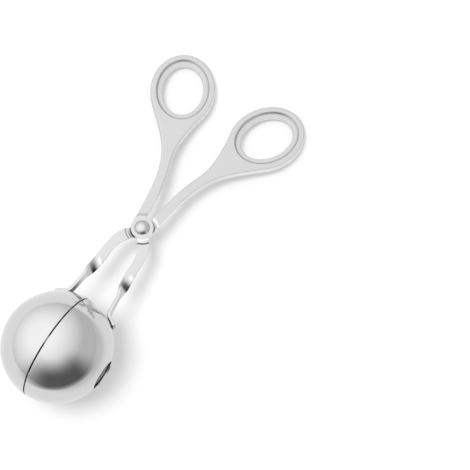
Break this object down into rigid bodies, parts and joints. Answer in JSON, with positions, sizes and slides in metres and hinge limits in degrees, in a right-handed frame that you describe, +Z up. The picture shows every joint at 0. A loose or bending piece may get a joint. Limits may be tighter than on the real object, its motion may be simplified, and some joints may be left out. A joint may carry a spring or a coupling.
{
  "type": "meatball tongs",
  "caption": "Scissor tongs of stainless steel with finger rings and a split ball mould that shapes and drops a ball of mince or dough.",
  "frame": {"origin": "on the table under the middle of the tongs' box, with the tongs closed and resting on the ball and on the far ends of both finger rings", "axes": "+X along the tongs from the ball to the finger rings, +Z up, +Y towards the half of the ball that opens to the left seen from the rings; the rivet's axis leans 7.9 degrees from +Z towards +X"},
  "size_m": [0.1706, 0.077, 0.0464],
  "materials": {
    "arm_steel": "satin",
    "cup_steel": "polished",
    "rivet_steel": "polished"
  },
  "bodies": {
    "under_half": {"under_arm": "arm_steel", "left_cup": "cup_steel", "pivot_rivet": "rivet_steel"},
    "over_half": {"over_arm": "arm_steel", "right_cup": "cup_steel"}
  },
  "joints": [
    {"name": "tongs_pivot", "type": "hinge", "parent": "under_half", "child": "over_half", "pos_m": [-0.00028, 0, 0.01465], "axis": [0.1369, 0, 0.9906], "range_deg": [0, 41]}
  ]
}
